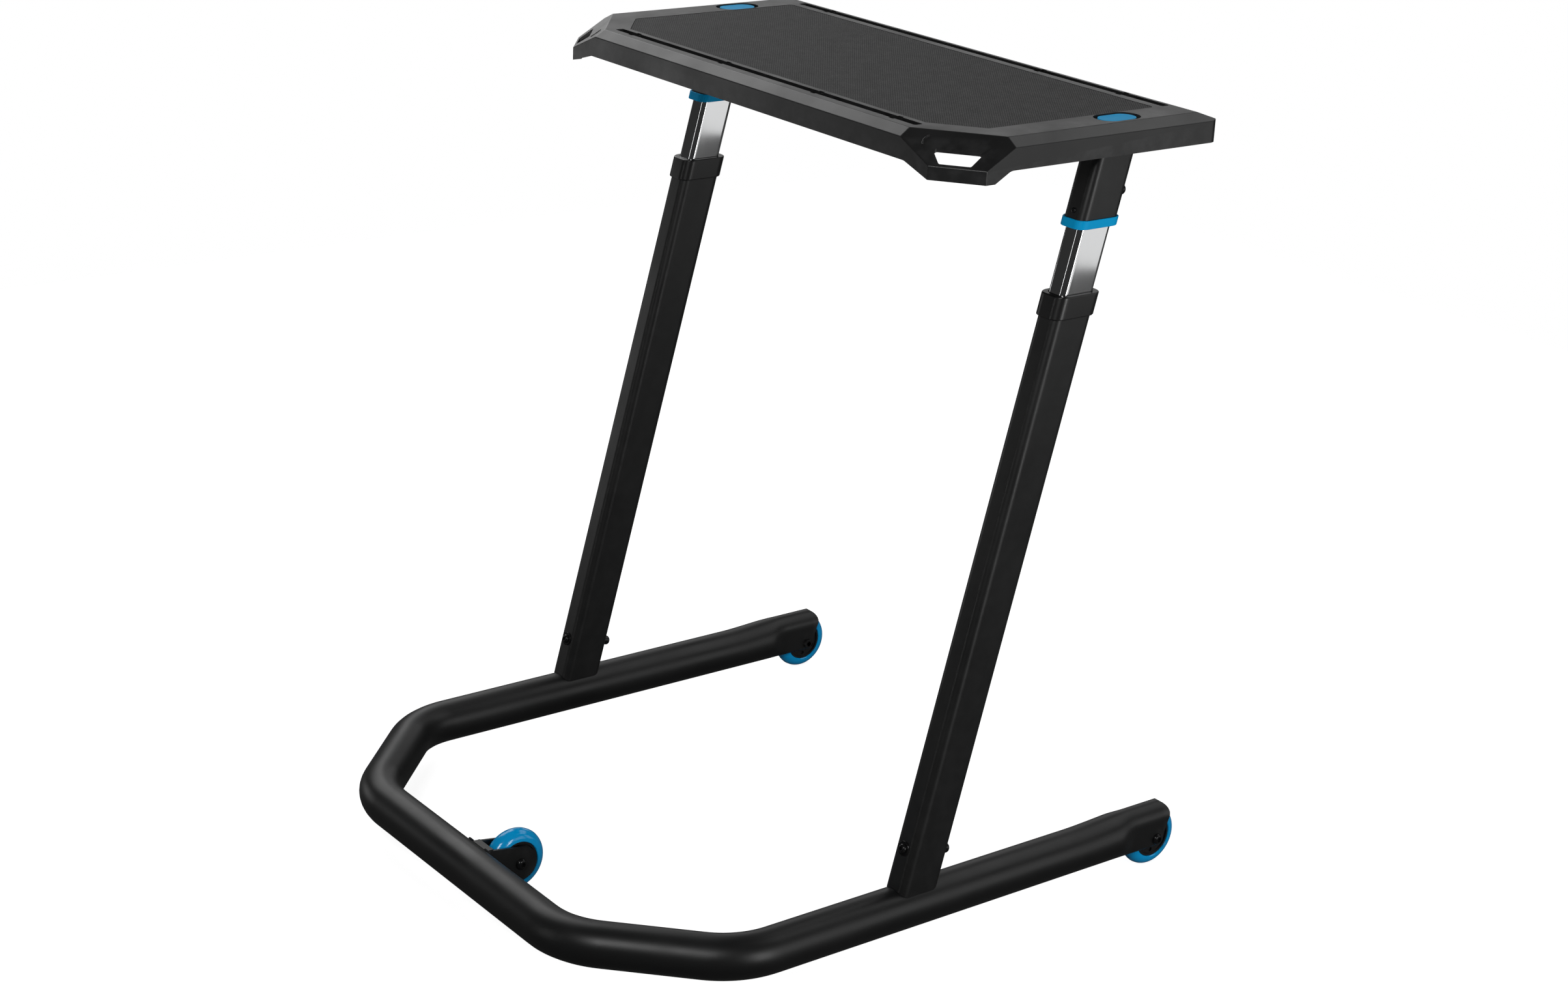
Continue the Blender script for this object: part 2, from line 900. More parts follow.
BLACK_OXIDE = Finish(
    "black_oxide", "black_hardware",
    (0.012, 0.012, 0.0125), (0.02, 0.02, 0.021), (0.12, 0.12, 0.12), 0.16,
    metallic=0.5, grain=1400, cells=0.3, bump=0.004, wear=0.5,
)
GUIDE_NYLON = Finish(
    "guide_nylon", "guide_nylon",
    (0.6, 0.58, 0.52), (0.68, 0.66, 0.6), (0.75, 0.73, 0.68), 0.5,
    grain=1200, cells=0.5, bump=0.015, wear=0.2,
)
NODE_FINISHES = {
    finish.slot: finish
    for finish in (
        FRAME_PAINT, SHELL_PLASTIC, COLLAR_PLASTIC, HUB_PLASTIC, MAT_RUBBER, BLUE_PLASTIC, BLUE_TYRE,
        CHROME_PLATE, BRIGHT_STEEL, SPRING_PAINT, BLACK_OXIDE, GUIDE_NYLON,
    )
}


def hand_over(piece: bpy.types.Object, finish: Finish, body: str, *nodes: str) -> None:
    """Shades a finished piece, dresses it and hands it to its body.

    Args:
        piece: The finished mesh object.
        finish: Its material.
        body: The CAD body that it rides on.
        *nodes: The CAD nodes that it stands for.
    """
    smoothed(piece)
    piece.data.materials.clear()
    piece.data.materials.append(finish.material())
    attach(piece, body)
    if nodes:
        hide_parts(*nodes)
    log.info("%s rides on %s, %d faces", piece.name, body, len(piece.data.polygons))


# Sub-assemblies


class Side(Enum):
    """The left or right half of the desk, with the sign of its place along X."""

    LEFT = -1
    RIGHT = 1

    @property
    def word(self) -> str:
        """The side's name as the CAD nodes spell it."""
        return self.name.lower()


@dataclass(frozen=True)
class ButtonHeadBolt:
    """A bolt or cap nut along +Z, with a domed head whose flat underside is at zero.

    Head, shank and washer are radii, and the height goes from zero to the top of the dome.
    """

    head: float
    height: float
    shank: float
    length: float
    washer: float = 0.0
    washer_thickness: float = 0.0
    straight: float = 0.5
    dome_steps: int = 6
    dome_flat: float = 0.52
    chamfer: float = 0.4
    washer_chamfer: float = 0.3
    undercut: float = 0.25
    socket: float = 0.46
    socket_floor: float = 0.35
    sides: int = 40
    edge: Round = Round(0.15, 2, 45)

    def model(self, name: str) -> bpy.types.Object:
        """Models the bolt at the origin.

        Args:
            name: The bolt's name.

        Returns:
            The bolt, with its hexagon socket cut.
        """
        base = self.washer_thickness
        profile = [
            (0.0, -self.length), (self.shank - self.chamfer, -self.length),
            (self.shank, self.chamfer - self.length), (self.shank, 0.0),
        ]
        if self.washer:
            rim, chamfer = self.washer - self.washer_chamfer, self.washer_chamfer
            profile += [(rim, 0.0), (self.washer, chamfer), (self.washer, base - chamfer), (rim, base)]
        profile.append((self.head - self.undercut, base))
        rise = self.height - base - self.straight
        for i in range(self.dome_steps + 1):
            turn = math.pi / 2 * i / self.dome_steps
            reach = self.dome_flat + (1 - self.dome_flat) * math.cos(turn)
            profile.append((self.head * reach, base + self.straight + rise * math.sin(turn)))
        profile.append((0.0, self.height))
        bolt = turned(name, profile, steps=self.sides)
        floor = at(0, 0, base + (self.height - base) * self.socket_floor)
        mouth = at(0, 0, self.height + OVERRUN)
        combine(bolt, [rod("socket", self.head * self.socket, floor, mouth, HEXAGON)], Cut.AWAY)
        softened(bolt, self.edge)
        return bolt


@dataclass
class BaseTube:
    """The U of round tube near the floor, with pressed ends over the rear wheels."""

    wall: float = 2
    chamfer: float = 138
    bend_radius: float = 100
    bend_steps: int = 14
    straight_stations: tuple[float, ...] = (200, 100, 0, -100)
    pressed_stations: tuple[float, ...] = tuple(range(380, 235, -5))
    fineness: int = 16
    crown_start: float = 240
    press_start: float = 303
    press_full: float = 333
    press_wide: float = 18
    press_rise: float = 30
    press_drop: float = 25
    flat_share: float = 0.84
    drop_power: float = 0.45
    low_end: float = 370
    high_end: float = 391
    end_lift: float = 1
    corner_round: float = 11
    slot_start: float = 325
    edge: Round = Round(0.5)

    def _path(self, extra: float) -> list[Vector]:
        """The tube's middle line from the right end round to the left end.

        Args:
            extra: How far it runs past the ends' cut, in millimetres.

        Returns:
            Its points in metres.
        """
        stations = (self.high_end + extra, *self.pressed_stations, *self.straight_stations)
        rail = [at(RAIL_X, y, RAIL_Z) for y in stations]
        rear_corner = at(RAIL_X, CROSS_Y + self.chamfer, RAIL_Z)
        front_corner = at(RAIL_X - self.chamfer, CROSS_Y, RAIL_Z)
        middle = at(0, CROSS_Y, RAIL_Z)
        rear = bend(rail[-1], rear_corner, front_corner, mm(self.bend_radius), self.bend_steps)
        front = bend(rear[-1], front_corner, middle, mm(self.bend_radius), self.bend_steps)
        half = rail + rear + front
        return [*half, middle, *(mirrored(place) for place in reversed(half))]

    def _form(self, name: str, inset: float) -> bpy.types.Object:
        """The tube's outer or inner form as a solid, with both ends pressed flat at the sides.

        Args:
            name: The new object's name.
            inset: How far the form lies inside the tube's outer face, in millimetres.

        Returns:
            The new object.
        """
        radius = TUBE_RADIUS - inset
        rise, drop = self.press_rise - inset, self.press_drop - inset
        form = swept(name, self._path(OVERRUN + inset), radius, self.fineness)
        for vertex in form.data.vertices:
            side = math.copysign(mm(RAIL_X), vertex.co.x)
            flat_share = eased(vertex.co.y, mm(self.press_start), mm(self.press_full))
            crown_share = eased(vertex.co.y, mm(self.crown_start), mm(self.press_full))
            if crown_share <= 0:
                continue
            cos = (vertex.co.x - side) / mm(radius)
            sin = (vertex.co.z - mm(RAIL_Z)) / mm(radius)
            flat = max(-self.flat_share, min(self.flat_share, cos)) / self.flat_share
            tall = rise * sin if sin > 0 else -drop * abs(sin) ** self.drop_power
            wide = side + mm((self.press_wide - inset) * flat)
            tall_share = crown_share if sin > 0 else flat_share
            vertex.co.x += (wide - vertex.co.x) * flat_share
            vertex.co.z += (mm(RAIL_Z + tall) - vertex.co.z) * tall_share
        face_outwards(form)
        return form

    def _end_cutter(self) -> bpy.types.Object:
        """What the slanting cut takes off both rail ends, with the top corner rounded.

        Returns:
            The tool.
        """
        low, high = RAIL_Z - TUBE_RADIUS, RAIL_Z + self.press_rise + self.end_lift
        slope = (self.high_end - self.low_end) / (2 * TUBE_RADIUS)
        near, far = self.high_end - 3 * OVERRUN, self.high_end + 4 * OVERRUN
        above = RAIL_Z + self.press_rise + 4 * OVERRUN
        outline = rounded(
            [
                (self.low_end - slope * low, -OVERRUN), (self.high_end + slope * 2, high),
                (near, high), (near, above), (far, above), (far, -OVERRUN),
            ],
            [0, self.corner_round, 0, 0, 0, 0],
        )
        reach = RAIL_X + 3 * TUBE_RADIUS
        return placed(prism("end_cutter", outline, -reach, reach), ALONG_X)

    def build(self) -> None:
        """Models the tube and hands it to the base."""
        piece = self._form("base_rail", 0)
        tools = [self._form("bore", self.wall), self._end_cutter()]
        reach = self.press_wide + OVERRUN
        for side in Side:
            x = side.value * RAIL_X
            low = (x - WHEEL_ROOM, self.slot_start, -OVERRUN)
            tools.append(block("wheel_slot", low, (x + WHEEL_ROOM, self.high_end + 2 * OVERRUN, RAIL_Z)))
            left, right = (at(x + step, REAR_AXLE_Y, AXLE_Z) for step in (-reach, reach))
            tools.append(rod("axle_hole", AXLE_HOLE, left, right, HOLE_SIDES))
        combine(piece, tools, Cut.AWAY)
        softened(piece, self.edge)
        hand_over(piece, FRAME_PAINT, "base", "base_tube")


@dataclass
class FrontFork:
    """Two ears and a web that hold the front wheel on the cross tube's rear side."""

    ear_radius: float = 21.5
    ear_thickness: float = 3
    ear_steps: int = 16
    root_rise: float = 20.5
    root_drop: float = 11
    web_low: float = 8
    web_drop: float = 3
    web_y: Point = (-6, 3)
    tube_reach: float = 90
    weld_radius: float = 1.7
    weld_turn: Point = (-24, 52)
    weld_steps: int = 40
    weld_lift: float = 0.6
    weld_out: float = 0.5
    ripple: float = 0.25
    ripple_pace: float = 2.1
    ripple_out: float = 0.3
    weld_fineness: int = 3
    edge: Round = Round(0.6, 3)

    def _ear(self, x: float, name: str) -> bpy.types.Object:
        """One ear plate, from its root inside the tube to its round end.

        Args:
            x: Where its left face is, in millimetres.
            name: The new object's name.

        Returns:
            The ear.
        """
        points: list[Point] = [(CROSS_Y, RAIL_Z - self.root_drop)]
        for i in range(self.ear_steps + 1):
            turn = -math.pi / 2 + math.pi * i / self.ear_steps
            y, z = self.ear_radius * math.cos(turn), self.ear_radius * math.sin(turn)
            points.append((FRONT_AXLE_Y + y, AXLE_Z + z))
        points.append((CROSS_Y, RAIL_Z + self.root_rise))
        return placed(prism(name, points, x, x + self.ear_thickness), ALONG_X)

    def _welds(self) -> list[bpy.types.Object]:
        """Weld beads where the ears' outer faces meet the tube.

        Returns:
            The two beads.
        """
        beads = []
        start, end = self.weld_turn
        for side in (-1, 1):
            path = []
            for i in range(self.weld_steps + 1):
                turn = math.radians(start + (end - start) * i / self.weld_steps)
                ripple = self.ripple * math.sin(i * self.ripple_pace)
                reach = TUBE_RADIUS + self.weld_lift + ripple
                x = WHEEL_ROOM + self.ear_thickness + self.weld_out + self.ripple_out * ripple
                y, z = reach * math.cos(turn), reach * math.sin(turn)
                path.append(at(side * x, CROSS_Y + y, RAIL_Z + z))
            beads.append(swept("fork_weld", path, self.weld_radius, self.weld_fineness))
        return beads

    def build(self) -> None:
        """Models the fork with its welds and hands it to the base."""
        fork = self._ear(WHEEL_ROOM, "front_fork")
        half = WHEEL_ROOM + self.ear_thickness / 2
        near, far = (CROSS_Y + TUBE_RADIUS + y for y in self.web_y)
        top = RAIL_Z + self.root_rise - self.web_drop
        web = block("web", (-half, near, RAIL_Z + self.web_low), (half, far, top))
        combine(fork, [self._ear(-WHEEL_ROOM - self.ear_thickness, "ear"), web], Cut.ON)
        tube_end = at(self.tube_reach, CROSS_Y, RAIL_Z)
        hole_end = at(WHEEL_ROOM * 2, FRONT_AXLE_Y, AXLE_Z)
        tools = [
            rod("tube", TUBE_RADIUS + GAP, mirrored(tube_end), tube_end, TUBE_SIDES),
            rod("hole", AXLE_HOLE, mirrored(hole_end), hole_end, HOLE_SIDES),
        ]
        combine(fork, tools, Cut.AWAY)
        softened(fork, self.edge)
        hand_over(fork, FRAME_PAINT, "base", "front_wheel_fork")
        welds = joined(self._welds(), "fork_welds")
        hand_over(welds, FRAME_PAINT, "base")


@dataclass
class Wheel:
    """A skate wheel on ball bearings, with its axle bolt in the base.

    Its side is the sign of the way that the bolt's head points along X.
    """

    name: str
    x: float
    y: float
    side: int
    half_span: float
    radius: float = 38
    half_width: float = 12
    hub: float = 25
    hub_half: float = 11
    bearing: float = 11
    bearing_width: float = 7
    spacer: float = 6.5
    axle: float = 3.7
    tyre_steps: int = 40
    tyre_sides: int = 112
    parting: float = 0.12
    rim_chamfer: float = 0.4
    rim_width: float = 2.2
    rim_foot: float = 3.0
    sink: float = 2.2
    seat_width: float = 2.4
    seat_foot: float = 3.2
    spokes: int = 6
    pocket: float = 2.6
    pocket_depth: float = 2.4
    shield_sink: float = 0.6
    shield_rims: Point = (0.6, 0.4)
    ring_rims: Point = (0.5, 0.3)
    bearing_chamfer: float = 0.3
    bolt_head: float = 7
    bolt_height: float = 4.2
    nut: float = 6.5
    nut_height: float = 5
    nut_chamfer: float = 0.7
    cheek: float = 2.6
    edge: Round = Round(0.25)

    def _place(self, flip: bool = False) -> Matrix:
        """Turns a piece's +Z to the wheel's axis and moves it to the wheel."""
        turn = -math.pi / 2 if flip else math.pi / 2
        return Matrix.Translation(at(self.x, self.y, self.radius)) @ Matrix.Rotation(turn, 4, "Y")

    def _tyre(self) -> bpy.types.Object:
        """The round tyre, with a faint parting line round its middle.

        Returns:
            The tyre, about the origin.
        """
        seat = self.hub + GAP
        profile: list[Point] = [(seat, -self.hub_half)]
        for i in range(self.tyre_steps + 1):
            turn = math.pi * i / self.tyre_steps - math.pi / 2
            reach = self.half_width + (self.parting if i == self.tyre_steps // 2 else 0.0)
            ring = self.radius - self.half_width + reach * math.cos(turn)
            profile.append((ring, self.half_width * math.sin(turn)))
        profile.append((seat, self.hub_half))
        return turned("tyre", profile, closed=True, steps=self.tyre_sides)

    def _hub(self) -> bpy.types.Object:
        """The hub, with a sunk face, a bearing seat and shallow pockets between spokes.

        Returns:
            The hub, about the origin.
        """
        face, sunk, seat = self.hub_half, self.hub_half - self.sink, self.bearing + GAP
        inner = self.hub_half - self.bearing_width - GAP
        outer_foot, inner_foot = self.hub - self.rim_foot, seat + self.seat_foot
        half = [
            (self.hub, 0), (self.hub, face - self.rim_chamfer), (self.hub - self.rim_chamfer, face),
            (self.hub - self.rim_width, face), (outer_foot, sunk), (inner_foot, sunk),
            (seat + self.seat_width, face), (seat, face), (seat, inner), (self.spacer + GAP, inner),
        ]
        hub = turned("hub", both_faces(half), closed=True, steps=TUBE_SIDES)
        pockets = []
        middle = (outer_foot + inner_foot) / 2
        for i in range(self.spokes):
            turn = 2 * math.pi / self.spokes * i
            for sign in (-1, 1):
                place = at(middle * math.cos(turn), middle * math.sin(turn), sign * sunk)
                reach = at(0, 0, sign * self.pocket_depth)
                pockets.append(rod("pocket", self.pocket, place - reach, place + reach, SCREW_SIDES))
        combine(hub, pockets, Cut.AWAY)
        softened(hub, self.edge)
        return hub

    def _bearings(self) -> bpy.types.Object:
        """Two shielded bearings and the spacer between them.

        Returns:
            The bearings, about the origin.
        """
        face, back = self.hub_half, self.hub_half - self.bearing_width
        inner, rim = self.axle + GAP, (self.bearing + self.spacer) / 2
        shield, chamfer = face - self.shield_sink, self.bearing_chamfer
        (outer_top, outer_foot), (inner_foot, inner_top) = self.shield_rims, self.ring_rims
        half = [
            (self.spacer, 0), (self.spacer, back), (self.bearing, back),
            (self.bearing, face - chamfer), (self.bearing - chamfer, face),
            (rim + outer_top, face), (rim + outer_foot, shield),
            (self.spacer + inner_foot, shield), (self.spacer + inner_top, face), (inner, face),
        ]
        return turned("bearings", both_faces(half), closed=True)

    def _axle(self) -> bpy.types.Object:
        """The axle bolt with its nut and two spacers.

        Returns:
            The four as one object, about the origin.
        """
        span = self.half_span + GAP
        end = -span - self.nut_height
        bolt = ButtonHeadBolt(self.bolt_head, self.bolt_height, self.axle, span - end).model("bolt")
        nut = rod("nut", self.nut, at(0, 0, end), at(0, 0, -span), HEXAGON)
        bevelled(nut, self.nut_chamfer, 2, lambda edge: all(v.co.z < mm(end + NEAR) for v in edge.verts))
        pieces = [placed(bolt, Matrix.Translation(at(0, 0, span))), nut]
        for side in (-1, 1):
            near, far = side * (self.hub_half + GAP), side * (self.half_span - self.cheek)
            pieces.append(rod("spacer", self.spacer, at(0, 0, near), at(0, 0, far), STUB_SIDES))
        return joined(pieces, "axle")

    def build(self) -> None:
        """Models the wheel's four pieces and hands them over."""
        body = f"{self.name}_wheel"
        parts = [
            (self._tyre(), "tyre", BLUE_TYRE, body),
            (self._hub(), "hub", HUB_PLASTIC, body),
            (self._bearings(), "bearings", BRIGHT_STEEL, body),
            (self._axle(), "axle", BLACK_OXIDE, "base"),
        ]
        for piece, word, finish, rides in parts:
            placed(piece, self._place(word == "axle" and self.side < 0))
            piece.name = f"{self.name}_{word}_piece"
            hand_over(piece, finish, rides, f"{self.name}_{word}")


@dataclass
class Post:
    """One leaning telescopic post, in its own frame: origin on the rail's axis, +Z along the lean."""

    side: Side
    foot_y: float = -8.4
    leg_x: float = 17
    leg_y: float = 27
    corner: float = 10
    corner_steps: int = 10
    wall: float = 2
    leg_top: float = 714
    rail_y: Point = (-140, 120)
    collar_wall: float = 3
    collar_low: float = 692.5
    collar_high: float = 718.5
    bush_length: float = 60
    chrome_x: float = 13.5
    chrome_y: float = 22.75
    chrome_corner: float = 7
    chrome_corner_steps: int = 12
    chrome_wall: float = 1.5
    chrome_low: float = 308
    chrome_high: float = 876
    ring_low: float = 792.86
    ring_height: float = 9.7
    ring_wall: float = 2.3
    sleeve_low: float = 795.86
    sleeve_high: float = 940
    liner_overlap: float = 1
    liner_top: float = 828.9
    leg_bolt: float = 69
    sleeve_bolt: float = 836
    sleeve_screw: float = 804.5
    leg_bolt_head: ButtonHeadBolt = ButtonHeadBolt(5.6, 5.0, 3, 20, washer=8.6, washer_thickness=1.4)
    leg_bolt_nut: ButtonHeadBolt = ButtonHeadBolt(
        6, 11.9, 3, 20, washer=8.6, washer_thickness=1.4, straight=7.5
    )
    sleeve_nut: ButtonHeadBolt = ButtonHeadBolt(6, 10.5, 3, 8, straight=7.5)
    small_screw: ButtonHeadBolt = ButtonHeadBolt(3, 1.2, 1.6, 3.5)
    leg_edge: Round = Round(0.6)
    collar_edge: Round = Round(1.3, 4)
    bush_edge: Round = Round(0.4)
    chrome_edge: Round = Round(0.3)
    ring_edge: Round = Round(0.9, 3)
    sleeve_edge: Round = Round(0.4)

    def _frame(self) -> Matrix:
        """Where the post's own frame is."""
        place = Matrix.Translation(at(self.side.value * RAIL_X, self.foot_y, RAIL_Z))
        return place @ Matrix.Rotation(math.radians(-LEAN), 4, "X")

    def _facing(self, height: float, front: bool) -> Matrix:
        """Turns a bolt's +Z out of the post's front or rear face at a height.

        Args:
            height: Where the bolt is along the post, in millimetres.
            front: Whether it is on the front face.

        Returns:
            The bolt's place.
        """
        turn = math.pi / 2 if front else -math.pi / 2
        reach = -self.leg_y if front else self.leg_y
        return self._frame() @ Matrix.Translation(at(0, reach, height)) @ Matrix.Rotation(turn, 4, "X")

    def _section(self, grow: float = 0) -> list[Point]:
        """The leg's outline, grown all round."""
        return box_outline(self.leg_x + grow, self.leg_y + grow, self.corner + grow, self.corner_steps)

    @staticmethod
    def _cut_level(piece: bpy.types.Object, height: float, below: bool, hollow: bool = False) -> None:
        """Cuts a piece in the post's own frame with a level plane, and closes the cut.

        Args:
            piece: The piece to cut.
            height: Where the plane crosses the post's axis, in millimetres.
            below: Whether what is below the plane goes, or what is above.
            hollow: Whether the piece is a tube, whose cut is closed as a ring.
        """
        lean = math.radians(LEAN)
        with editing(piece):
            bpy.ops.mesh.bisect(
                plane_co=at(0, 0, height), plane_no=(0, -math.sin(lean), math.cos(lean)),
                use_fill=not hollow, clear_inner=below, clear_outer=not below,
            )
            if hollow:
                close_ring(piece)

    def _level_prism(self, name: str, grow: float, low: float, high: float) -> bpy.types.Object:
        """A solid of the leg's section with level ends.

        Args:
            name: The new object's name.
            grow: How far the section is grown all round, in millimetres.
            low: Where the lower end crosses the post's axis.
            high: Where the upper end crosses it.

        Returns:
            The new object, in the post's own frame.
        """
        piece = prism(name, self._section(grow), low - self.leg_y, high + self.leg_y)
        self._cut_level(piece, low, True)
        self._cut_level(piece, high, False)
        return piece

    def _bore(self, low: float, high: float) -> bpy.types.Object:
        """The room that the chrome tube slides in."""
        outline = box_outline(self.chrome_x + GAP, self.chrome_y + GAP, self.chrome_corner + GAP)
        return prism("bore", outline, low, high)

    def _leg(self) -> None:
        """The lower leg, with its foot cut to the rail and its top cut level."""
        leg = tube(f"{self.side.word}_leg", self._section(), 0, self.leg_top + self.leg_y, self.wall)
        self._cut_level(leg, self.leg_top, False, hollow=True)
        placed(leg, self._frame())
        front, rear = (at(self.side.value * RAIL_X, y, RAIL_Z) for y in self.rail_y)
        combine(leg, [rod("rail", TUBE_RADIUS + GAP, front, rear, TUBE_SIDES)], Cut.AWAY)
        with editing(leg):
            pick(leg, Pick.FACES, lambda face: face.calc_center_median().z < mm(RAIL_Z))
            bpy.ops.mesh.delete(type="FACE")
        softened(leg, self.leg_edge)
        hand_over(leg, FRAME_PAINT, "base", f"{self.side.word}_lower_leg")

    def _collar(self) -> None:
        """The level collar that caps the leg, with soft edges and the chrome tube's mouth."""
        word, low, high = self.side.word, self.collar_low, self.collar_high
        collar = self._level_prism(f"{word}_collar_piece", self.collar_wall, low, high)
        seat = self._level_prism("seat", GAP, low - OVERRUN, self.leg_top + GAP)
        combine(collar, [seat], Cut.AWAY)
        combine(collar, [self._bore(low, high + self.leg_y)], Cut.AWAY)
        softened(collar, self.collar_edge)
        hand_over(placed(collar, self._frame()), COLLAR_PLASTIC, "base", f"{word}_collar")

    def _bush(self) -> None:
        """The bush in the leg's mouth that the chrome tube slides in."""
        word = self.side.word
        low, high = self.leg_top - self.bush_length, self.leg_top + self.leg_y
        bush = prism(f"{word}_bush", self._section(-self.wall - GAP), low, high)
        self._cut_level(bush, self.leg_top, False)
        combine(bush, [self._bore(low - OVERRUN, high)], Cut.AWAY)
        softened(bush, self.bush_edge)
        hand_over(placed(bush, self._frame()), GUIDE_NYLON, "base", f"{word}_leg_bush")

    def _chrome(self) -> None:
        """The chrome tube that slides in the leg."""
        word = self.side.word
        outline = box_outline(self.chrome_x, self.chrome_y, self.chrome_corner, self.chrome_corner_steps)
        chrome = tube(f"{word}_chrome", outline, self.chrome_low, self.chrome_high, self.chrome_wall)
        softened(chrome, self.chrome_edge)
        hand_over(placed(chrome, self._frame()), CHROME_PLATE, "desk", f"{word}_chrome_tube")

    def _ring(self) -> None:
        """The level blue ring that caps the sleeve's lower end, with its liner inside."""
        word = self.side.word
        low, high = self.ring_low, self.ring_low + self.ring_height
        ring = self._level_prism(f"{word}_blue_ring", self.ring_wall, low, high)
        room = self._level_prism("room", GAP, self.sleeve_low, self.sleeve_low + 4 * OVERRUN)
        combine(ring, [room], Cut.AWAY)
        section = self._section(-self.wall - GAP)
        liner = prism("liner", section, self.sleeve_low - self.leg_y, self.liner_top)
        self._cut_level(liner, self.sleeve_low - self.liner_overlap, True)
        combine(ring, [liner], Cut.ON)
        combine(ring, [self._bore(low - self.leg_y, self.liner_top + OVERRUN)], Cut.AWAY)
        softened(ring, self.ring_edge)
        hand_over(placed(ring, self._frame()), BLUE_PLASTIC, "desk", f"{word}_ring")

    def _sleeve(self) -> None:
        """The upper sleeve, cut level at its foot and under the mount plate."""
        word, low = self.side.word, self.sleeve_low - self.leg_y
        sleeve = tube(f"{word}_sleeve", self._section(), low, self.sleeve_high, self.wall)
        self._cut_level(sleeve, self.sleeve_low + GAP, True, hollow=True)
        placed(sleeve, self._frame())
        ceiling = at(0, 0, PLATE_TOP - PLATE_THICKNESS - GAP)
        with editing(sleeve):
            bpy.ops.mesh.bisect(plane_co=ceiling, plane_no=(0, 0, 1), use_fill=False, clear_outer=True)
            close_ring(sleeve)
        softened(sleeve, self.sleeve_edge)
        hand_over(sleeve, FRAME_PAINT, "desk", f"{word}_upper_sleeve")

    def _fasteners(self) -> None:
        """The leg's through bolt, the sleeve's rear bolt and its small front screw."""
        word = self.side.word
        front = placed(self.leg_bolt_head.model("leg_bolt_head"), self._facing(self.leg_bolt, True))
        rear = placed(self.leg_bolt_nut.model("leg_bolt_nut"), self._facing(self.leg_bolt, False))
        hand_over(joined([front, rear], f"{word}_leg_bolts"), BLACK_OXIDE, "base", f"{word}_leg_bolt")
        bolt = self.sleeve_nut.model(f"{word}_sleeve_bolt_piece")
        placed(bolt, self._facing(self.sleeve_bolt, False))
        hand_over(bolt, BLACK_OXIDE, "desk", f"{word}_sleeve_bolt")
        screw = self.small_screw.model(f"{word}_sleeve_screw_piece")
        placed(screw, self._facing(self.sleeve_screw, True))
        hand_over(screw, BLACK_OXIDE, "desk", f"{word}_sleeve_screw")

    def build(self) -> None:
        """Models the post's visible pieces and hands them over."""
        self._leg()
        self._collar()
        self._bush()
        self._chrome()
        self._ring()
        self._sleeve()
        self._fasteners()


@dataclass(frozen=True)
class TabletSlot:
    """A slot for a tablet: its middle, half its length and its notches as shares of that half."""

    y: float
    half: float
    notches: tuple[float, ...]


